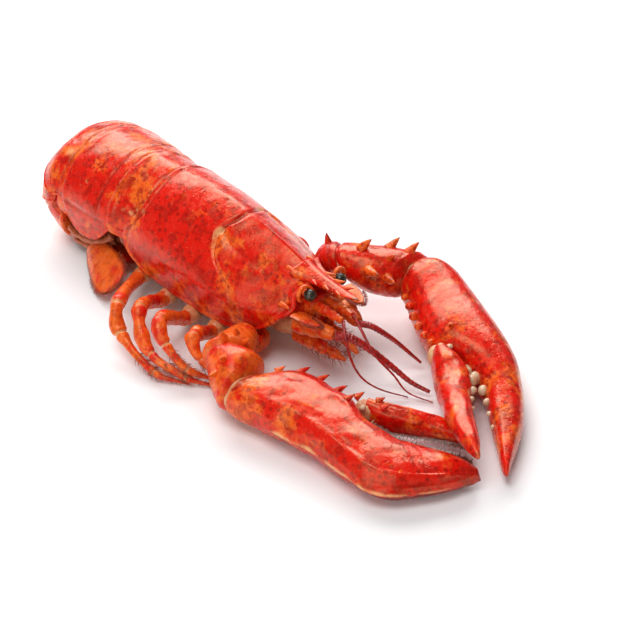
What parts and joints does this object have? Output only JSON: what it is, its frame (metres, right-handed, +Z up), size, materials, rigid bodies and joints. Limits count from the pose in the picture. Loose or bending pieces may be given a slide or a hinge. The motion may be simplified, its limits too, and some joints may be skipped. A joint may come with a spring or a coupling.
{
  "type": "cooked lobster",
  "caption": "Whole cooked red lobster lying flat, tail curled under, the two large claws folded together in front of the head.",
  "frame": {"origin": "Centre of the bounding box in x and y, on the plane it rests on.", "axes": "+Z is up out of the lobster's back, -Y is the way the head and claws point, +X is the lobster's left side."},
  "size_m": [0.1318, 0.2902, 0.0578],
  "materials": {
    "shell": "wet glossy deep red shell with orange mottling",
    "limb_shell": "glossy orange-red shell of legs, mouthparts and tail plates",
    "breast": "pale beige breast plates and hips under the carapace",
    "eye": "glossy black eye",
    "feeler": "glossy dark red feelers"
  },
  "bodies": {
    "root": {"abdomen_1": "shell", "abdomen_2": "shell", "abdomen_3": "shell", "abdomen_4": "shell", "abdomen_5": "shell", "abdomen_6": "shell", "antenna_base_left": "limb_shell", "antenna_base_right": "limb_shell", "antenna_left": "feeler", "antenna_right": "feeler", "antenna_scale_left": "limb_shell", "antenna_scale_right": "limb_shell", "antennule_base_left": "limb_shell", "antennule_base_right": "limb_shell", "antennule_left": "feeler", "antennule_right": "feeler", "carapace": "shell", "carpus_left": "shell", "carpus_right": "shell", "claw_left": "shell", "claw_right": "shell", "eye_left": "eye", "eye_right": "eye", "finger_left": "shell", "finger_right": "shell", "head": "limb_shell", "ischium_left": "limb_shell", "ischium_right": "limb_shell", "leg_first_left": "limb_shell", "leg_first_right": "limb_shell", "leg_rear_left": "limb_shell", "leg_rear_right": "limb_shell", "leg_second_left": "limb_shell", "leg_second_right": "limb_shell", "leg_third_left": "limb_shell", "leg_third_right": "limb_shell", "maxilliped_left": "limb_shell", "maxilliped_right": "limb_shell", "merus_left": "shell", "merus_right": "shell", "telson": "limb_shell", "thorax": "breast", "uropod_inner_left": "limb_shell", "uropod_inner_right": "limb_shell", "uropod_outer_left": "limb_shell", "uropod_outer_right": "limb_shell"}
  },
  "joints": []
}
